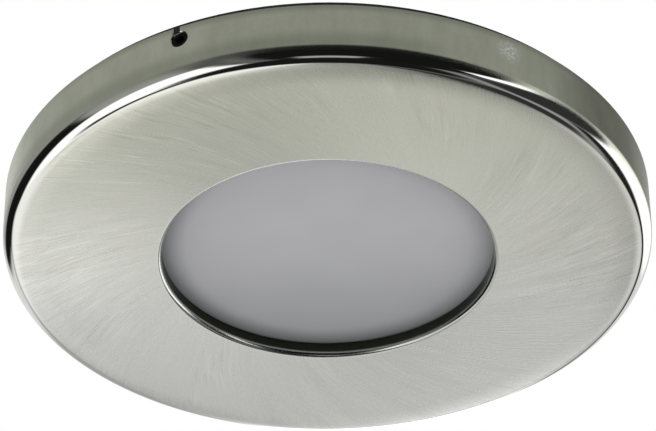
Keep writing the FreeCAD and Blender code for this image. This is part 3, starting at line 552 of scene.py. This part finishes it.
def plated(name, low, high, rough, stretch=(1.0, 1.0, 1.0), scale=1.5):
    """Plated or rolled steel, with a faint drawn grain."""
    material, nodes, place = new_material(name)
    grain = nodes.noise(nodes.vector("MULTIPLY", place, stretch), scale, 4.0, 0.6)
    finish_material(
        nodes,
        Base_Color=cloudy(nodes, nodes.noise(place, 0.4, 2.0), (low, high)),
        Metallic=1.0,
        Roughness=nodes.straight(grain, NOISE_SPAN, (rough - 0.06, rough + 0.08)),
        Normal=nodes.bump(grain, 0.15, 0.00002),
    )
    return material


# ---------------------------------------------------------------- meshes


def new_object(name, mesh):
    item = bpy.data.objects.new(name, mesh)
    bpy.context.scene.collection.objects.link(item)
    return item


def shade(mesh):
    """Smooth faces, with sharp edges where they meet at an angle."""
    mesh.shade_smooth()
    mesh.set_sharp_from_angle(angle=SHARP_ANGLE)


def arc(centre, radius, start, end, steps):
    """Points along an arc in the half section, its angles in degrees."""
    angles = [math.radians(start + (end - start) * step / steps) for step in range(steps + 1)]
    return [(centre[0] + radius * math.cos(turn), centre[1] + radius * math.sin(turn)) for turn in angles]


def lathe(section, segments):
    """A closed half section in millimetres turned round the middle axis."""
    mesh = bmesh.new()
    rings = []
    for segment in range(segments):
        turn = math.tau * segment / segments
        way = (math.cos(turn), math.sin(turn))
        rings.append([mesh.verts.new((r * way[0] * MM, r * way[1] * MM, z * MM)) for r, z in section])
    for segment in range(segments):
        ring, following = rings[segment], rings[(segment + 1) % segments]
        for index in range(len(section)):
            after = (index + 1) % len(section)
            mesh.faces.new((ring[index], following[index], following[after], ring[after]))
    bmesh.ops.recalc_face_normals(mesh, faces=mesh.faces)
    return mesh


def finished(mesh, name):
    data = bpy.data.meshes.new(name)
    mesh.to_mesh(data)
    mesh.free()
    return new_object(name, data)


def trim_section():
    """The pressed sheet in half section, with a support point beside each tangent line."""
    roll_end = RIM_RADIUS - EDGE_RADIUS * (1 - math.sin(ROLL_TURN))
    roll_bend = math.tan(ROLL_TURN) / (roll_end - ROLL_RADIUS) / 2
    roll = []
    for step in range(ROLL_STEPS):
        out = (roll_end - ROLL_RADIUS) * step / ROLL_STEPS
        roll.append((ROLL_RADIUS + out, FACE_LEVEL + roll_bend * out**2))
    roll_level = FACE_LEVEL + roll_bend * (roll_end - ROLL_RADIUS) ** 2
    edge = (RIM_RADIUS - EDGE_RADIUS, roll_level + EDGE_RADIUS * math.cos(ROLL_TURN))
    lip = (APERTURE_RADIUS + LIP_RADIUS, FACE_LEVEL + LIP_RADIUS)
    lip_top = FACE_LEVEL + LIP_RISE
    inside = FACE_LEVEL + SHEET
    rim = (RIM_RADIUS - RIM_BEVEL, RIM_LEVEL - RIM_BEVEL)
    points = [(APERTURE_RADIUS, lip_top), (APERTURE_RADIUS, lip[1] + HOLD)]
    points += arc(lip, LIP_RADIUS, 180, 270, LIP_STEPS)
    points += [(lip[0] + HOLD, FACE_LEVEL)]
    points += roll
    points += arc(edge, EDGE_RADIUS, 270 + math.degrees(ROLL_TURN), 360, EDGE_STEPS)
    points += [(RIM_RADIUS, edge[1] + HOLD), (RIM_RADIUS, rim[1] - HOLD)]
    points += arc(rim, RIM_BEVEL, 0, 90, BEVEL_STEPS)
    points += [(RIM_RADIUS - SHEET, RIM_LEVEL), (RIM_RADIUS - SHEET, edge[1] + HOLD)]
    points += arc(edge, EDGE_RADIUS - SHEET, 0, -90, INNER_EDGE_STEPS)
    inner_radius = APERTURE_RADIUS + SHEET
    points += [(edge[0] - HOLD, inside), (inner_radius, inside), (inner_radius, lip_top)]
    return points


def keyhole_outline(grown):
    """A keyhole open at the top, as (sideways, upward) points, grown by a margin all round."""
    radius = NOTCH_RADIUS + grown
    right = SLIT_OFFSET + SLIT_WIDTH / 2 + grown
    left = SLIT_OFFSET - SLIT_WIDTH / 2 - grown
    start = math.degrees(math.acos(right / radius))
    end = math.degrees(math.acos(left / radius)) - 360
    hole = arc((0, NOTCH_LEVEL), radius, start, end, NOTCH_STEPS)
    return [(right, SLIT_TOP)] + hole + [(left, SLIT_TOP)]


def keyhole(angle):
    """A bar with a keyhole's outline, through the skirt at an angle, flared to chamfer its edge."""
    stations = [
        (RIM_RADIUS - NOTCH_DEPTH, 0.0),
        (RIM_RADIUS - NOTCH_CHAMFER, 0.0),
        (RIM_RADIUS + NOTCH_CHAMFER, 2 * NOTCH_CHAMFER),
    ]
    mesh = bmesh.new()
    ends = []
    for radius, grown in stations:
        outline = keyhole_outline(grown)
        ends.append([mesh.verts.new((radius * MM, y * MM, z * MM)) for y, z in outline])
    mesh.faces.new(ends[0])
    mesh.faces.new(ends[-1])
    for near, far in zip(ends, ends[1:]):
        for index in range(len(near)):
            after = (index + 1) % len(near)
            mesh.faces.new((near[index], near[after], far[after], far[index]))
    bmesh.ops.recalc_face_normals(mesh, faces=mesh.faces)
    bmesh.ops.rotate(mesh, verts=mesh.verts, matrix=Matrix.Rotation(math.radians(angle), 3, "Z"))
    return finished(mesh, "keyhole_cutter")


def apply_modifiers(item):
    """Replaces an object's mesh by what its modifiers make of it."""
    bpy.context.view_layer.update()
    seen = item.evaluated_get(bpy.context.evaluated_depsgraph_get())
    mesh = bpy.data.meshes.new_from_object(seen)
    item.modifiers.clear()
    item.data = mesh


def make_trim_cover(metal):
    cover = finished(lathe(trim_section(), LATHE_SEGMENTS), "trim_cover_pressed")
    cutters = [keyhole(angle) for angle in NOTCH_ANGLES]
    for cutter in cutters:
        cut = cover.modifiers.new("keyhole", "BOOLEAN")
        cut.operation = "DIFFERENCE"
        cut.solver = "EXACT"
        cut.object = cutter
    apply_modifiers(cover)
    for cutter in cutters:
        bpy.data.objects.remove(cutter)

    mesh = bmesh.new()
    mesh.from_mesh(cover.data)
    for angle in STUD_ANGLES:
        turn = math.radians(angle)
        middle = FACE_LEVEL + SHEET + STUD_LENGTH / 2
        spot = Vector((STUD_CIRCLE * math.cos(turn), STUD_CIRCLE * math.sin(turn), middle)) * MM
        bmesh.ops.create_cone(
            mesh,
            cap_ends=True,
            segments=STUD_SEGMENTS,
            radius1=STUD_RADIUS * MM,
            radius2=STUD_RADIUS * MM,
            depth=STUD_LENGTH * MM,
            matrix=Matrix.Translation(spot),
        )
    mesh.to_mesh(cover.data)
    mesh.free()
    shade(cover.data)
    cover.data.materials.clear()
    cover.data.materials.append(metal)
    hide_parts("trim_cover")
    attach(cover, "cover")


def spring_path():
    """The middle line of the right spring's wire, in millimetres."""
    climb = COIL_PITCH / math.tau
    steps = COIL_QUARTERS * QUARTER_STEPS

    def coil(step):
        turn = math.pi + step / QUARTER_STEPS * math.pi / 2
        y = step / QUARTER_STEPS * COIL_PITCH / 4 - COIL_REACH
        return Vector((PIVOT_X + COIL_RADIUS * math.cos(turn), y, PIVOT_Z + COIL_RADIUS * math.sin(turn)))

    def way(step):
        turn = math.pi + step / QUARTER_STEPS * math.pi / 2
        return Vector((-COIL_RADIUS * math.sin(turn), climb, COIL_RADIUS * math.cos(turn))).normalized()

    rear_end, front_end = way(0) * REAR_LEG, way(steps) * FRONT_LEG
    rear = [coil(0) - rear_end * (1 - step / REAR_LEG_STEPS) for step in range(REAR_LEG_STEPS)]
    turns = [coil(step) for step in range(steps + 1)]
    front = [coil(steps) + front_end * (step + 1) / FRONT_LEG_STEPS for step in range(FRONT_LEG_STEPS)]
    return rear + turns + front


def wire_along(path):
    """A round wire along a path in millimetres, its ends slightly rounded."""
    mesh = bmesh.new()
    tangents = []
    for index in range(len(path)):
        before, after = path[max(index - 1, 0)], path[min(index + 1, len(path) - 1)]
        tangents.append((after - before).normalized())
    normal = tangents[0].orthogonal().normalized()
    stations = [
        (path[0], tangents[0], WIRE_END_SIZE),
        (path[0] + tangents[0] * WIRE_END_LENGTH, tangents[0], 1.0),
    ]
    stations += [(path[index], tangents[index], 1.0) for index in range(1, len(path) - 1)]
    stations.append((path[-1] - tangents[-1] * WIRE_END_LENGTH, tangents[-1], 1.0))
    stations.append((path[-1], tangents[-1], WIRE_END_SIZE))
    rings = []
    for spot, tangent, size in stations:
        normal = (normal - tangent * normal.dot(tangent)).normalized()
        side = tangent.cross(normal)
        ring = []
        for index in range(WIRE_SIDES):
            turn = math.tau * index / WIRE_SIDES
            offset = (normal * math.cos(turn) + side * math.sin(turn)) * WIRE_RADIUS * size
            ring.append(mesh.verts.new((spot + offset) * MM))
        rings.append(ring)
    for ring, following in zip(rings, rings[1:]):
        for index in range(WIRE_SIDES):
            after = (index + 1) % WIRE_SIDES
            mesh.faces.new((ring[index], ring[after], following[after], following[index]))
    mesh.faces.new(rings[0])
    mesh.faces.new(rings[-1])
    bmesh.ops.recalc_face_normals(mesh, faces=mesh.faces)
    return mesh


def make_springs(wire):
    for side, facing in (("right", 1), ("left", -1)):
        mesh = wire_along(spring_path())
        if facing < 0:
            bmesh.ops.rotate(mesh, verts=mesh.verts, matrix=Matrix.Rotation(math.pi, 3, "Z"))
        spring = finished(mesh, f"torsion_spring_{side}")
        shade(spring.data)
        spring.data.materials.append(wire)
        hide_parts(f"clip_spring_{side}")
        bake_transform(spring)


# ---------------------------------------------------------------- carried-over nodes

# Each finish of plated or rolled steel: its two tones, its settings and the nodes that have it.
PLATINGS = [
    ("zinc_plating", (186, 188, 192), (206, 208, 212), {"rough": 0.3, "scale": 2.0},
     ("led_board_screws", "driver_screws", "rear_cover_screws", "retaining_nuts", "terminal_screws")),
    ("bracket_steel", (176, 178, 180), (200, 201, 202), {"rough": 0.32, "stretch": (0.3, 0.3, 3.0)},
     ("clip_brackets", "clip_pins", "clip_rivets", "lens_retaining_ring")),
    ("strip_steel", (170, 171, 172), (196, 196, 196), {"rough": 0.28, "stretch": (0.15, 3.0, 3.0)},
     ("clip_arm_right", "clip_arm_left")),
]

# Each finish of plastic, rubber, paint or ceramic, in the same way.
MOULDINGS = [
    ("grey_silicone", (196, 196, 192), (206, 206, 202), {"rough": 0.55, "grain": 4.0},
     ("cover_seal", "lens_gasket", "rear_gasket", "gland_seal")),
    ("black_rubber", (34, 34, 35), (44, 44, 45), {"rough": 0.6, "grain": 4.0, "bump": 0.25},
     ("clip_pad_right", "clip_pad_left")),
    ("black_foam", (34, 34, 34), (46, 46, 45),
     {"rough": 0.75, "grain": 2.2, "bump": 0.8, "distance": 0.0001, "specular": 0.15},
     ("soffit_gasket",)),
    ("black_nylon", (26, 26, 27), (36, 36, 37), {"rough": 0.42, "bump": 0.12},
     ("gland_body", "gland_cap", "gland_locknut")),
    ("black_oxide", (5, 5, 5), (10, 10, 10), {"rough": 0.22, "grain": 5.0, "bump": 0.2, "specular": 0.06},
     ("lock_screw_1", "lock_screw_2", "lock_screw_3")),
    ("thermal_pad", (150, 168, 188), (166, 182, 200), {"rough": 0.6}, ("thermal_pad",)),
    ("white_solder_mask", (228, 228, 224), (238, 238, 235), {"rough": 0.35}, ("led_board",)),
    ("phosphor", (232, 196, 84), (242, 212, 110), {"rough": 0.4, "grain": 8.0}, ("led_chips",)),
    ("white_reflector", (234, 234, 232), (242, 242, 240), {"rough": 0.3}, ("reflector",)),
    ("green_solder_mask", (18, 84, 44), (26, 100, 54), {"rough": 0.32, "grain": 2.0, "bump": 0.2},
     ("driver_board",)),
    ("red_insulation", (168, 34, 28), (186, 44, 36), {"rough": 0.45}, ("led_leads",)),
    ("bobbin_plastic", (32, 32, 32), (44, 44, 44), {"rough": 0.5}, ("transformer_bobbin", "rectifier")),
    ("ferrite", (70, 70, 73), (88, 88, 90), {"rough": 0.6, "grain": 6.0, "bump": 0.4},
     ("transformer_core",)),
    ("capacitor_sleeve", (22, 26, 62), (32, 36, 76), {"rough": 0.3}, ("driver_capacitors",)),
    ("terminal_plastic", (222, 222, 214), (234, 234, 228), {"rough": 0.4}, ("terminal_block",)),
]

# Corners rounded as a casting or moulding has them, in millimetres.
SOFT_CORNERS = {"base_casting": 0.2, "gland_body": 0.2, "gland_cap": 0.2, "rear_cover": 0.12}


def dress(material, *names):
    """Gives CAD nodes their material."""
    for name in names:
        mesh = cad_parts[name].data
        mesh.materials.clear()
        mesh.materials.append(material)
        shade(mesh)


def soften(name, width):
    """Rounds the corners of a CAD node by a width in millimetres."""
    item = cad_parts[name]
    flat = item.modifiers.new("flat", "DECIMATE")
    flat.decimate_type = "DISSOLVE"
    flat.angle_limit = FLAT_ANGLE
    bevel = item.modifiers.new("soft_corners", "BEVEL")
    bevel.width = width * MM
    bevel.segments = 2
    bevel.limit_method = "ANGLE"
    bevel.angle_limit = CORNER_ANGLE
    bevel.harden_normals = True


def dress_nodes():
    dress(cast_metal(), "base_casting", "rear_cover")
    dress(frosted_glass(), "lens")
    for finish, low, high, settings, names in PLATINGS:
        dress(plated(finish, low, high, **settings), *names)
    for finish, low, high, settings, names in MOULDINGS:
        dress(moulded(finish, low, high, **settings), *names)
    for name, width in SOFT_CORNERS.items():
        soften(name, width)


# ---------------------------------------------------------------- studio


def studio_world():
    """White behind the object; a soft even light; dark flags and bright panels for polished metal."""
    world = bpy.data.worlds.new("studio")
    bpy.context.scene.world = world
    world.use_nodes = True
    nodes = Nodes(world.node_tree)
    way = nodes.add("ShaderNodeTexCoord").outputs["Generated"]
    x, y, z = nodes.split(way)
    azimuth = nodes.math("DEGREES", nodes.math("ARCTAN2", x, y))
    elevation = nodes.math("DEGREES", nodes.math("ARCSINE", z))
    level = (BACKDROP_LEVEL, BACKDROP_LEVEL, BACKDROP_LEVEL, 1)
    for _, sides, heights, lean, soft, bright in STUDIO_CARDS:
        leaning = nodes.math("MULTIPLY_ADD", elevation, lean, azimuth)
        inside = nodes.times(
            nodes.smooth(leaning, (sides[0] - soft, sides[0] + soft)),
            nodes.smooth(leaning, (sides[1] + soft, sides[1] - soft)),
            nodes.smooth(elevation, (heights[0] - soft, heights[0] + soft)),
            nodes.smooth(elevation, (heights[1] + soft, heights[1] - soft)),
        )
        level = nodes.mix(inside, level, (bright, bright, bright, 1))

    rays = nodes.add("ShaderNodeLightPath").outputs
    seen = nodes.larger(rays["Is Camera Ray"], rays["Is Transmission Ray"])
    reflected = nodes.add("ShaderNodeBackground", {"Color": level, "Strength": 1.0})
    even_colour = (EVEN_LEVEL, EVEN_LEVEL, EVEN_LEVEL, 1)
    even = nodes.add("ShaderNodeBackground", {"Color": even_colour, "Strength": 1.0})
    white = nodes.add("ShaderNodeBackground", {"Color": (1.0, 1.0, 1.0, 1), "Strength": 1.0})
    lit = nodes.add(
        "ShaderNodeMixShader", {0: rays["Is Glossy Ray"], 1: even.outputs[0], 2: reflected.outputs[0]}
    )
    shown = nodes.add("ShaderNodeMixShader", {0: seen, 1: lit.outputs[0], 2: white.outputs[0]})
    nodes.add("ShaderNodeOutputWorld", {"Surface": shown.outputs[0]})


def make_floor():
    mesh = bmesh.new()
    bmesh.ops.create_grid(mesh, x_segments=1, y_segments=1, size=FLOOR_SIZE)
    floor = finished(mesh, "floor")
    floor.location.z = FLOOR_LEVEL
    material, nodes, _ = new_material("floor_paper")
    rays = nodes.add("ShaderNodeLightPath").outputs
    paper = nodes.add("ShaderNodeBsdfDiffuse", {"Color": (FLOOR_TONE, FLOOR_TONE, FLOOR_TONE, 1)})
    glow = nodes.times(rays["Is Camera Ray"], FLOOR_GLOW)
    glow = nodes.add("ShaderNodeEmission", {"Strength": glow})
    pale = nodes.add("ShaderNodeAddShader", {0: paper.outputs[0], 1: glow.outputs[0]})
    nodes.add("ShaderNodeOutputMaterial", {"Surface": pale.outputs[0]})
    floor.data.materials.append(material)
    floor.visible_glossy = False


def area_light(name, place, size, power):
    """A round soft lamp that faces the object and doesn't show in its metal."""
    light = bpy.data.lights.new(name, "AREA")
    light.shape = "DISK"
    light.size = size
    light.energy = power
    item = bpy.data.objects.new(name, light)
    bpy.context.scene.collection.objects.link(item)
    item.location = place
    item.rotation_euler = (-Vector(place)).to_track_quat("-Z", "Y").to_euler()
    item.visible_glossy = False


def add_camera():
    camera = bpy.data.cameras.new("camera")
    camera.sensor_width = SENSOR_WIDTH
    camera.lens = FOCAL_LENGTH
    camera.shift_x = SHIFT_X
    camera.clip_start = NEAR_CLIP
    camera.clip_end = FAR_CLIP
    item = bpy.data.objects.new("camera", camera)
    bpy.context.scene.collection.objects.link(item)
    ahead = Vector((0, math.cos(VIEW_ELEVATION), math.sin(VIEW_ELEVATION)))
    facing = Matrix.Rotation(math.pi / 2 + VIEW_ELEVATION, 4, "X") @ Matrix.Rotation(VIEW_ROLL, 4, "Z")
    item.matrix_world = Matrix.Translation(VIEW_TARGET - ahead * VIEW_DISTANCE) @ facing
    bpy.context.scene.camera = item


make_trim_cover(satin_nickel())
make_springs(plated("spring_wire", (160, 160, 160), (190, 190, 190), 0.2, scale=3.0))
dress_nodes()
studio_world()
make_floor()
for lamp in LAMPS:
    area_light(*lamp)
add_camera()

bpy.context.scene.view_settings.view_transform = "Standard"
bpy.context.view_layer.update()
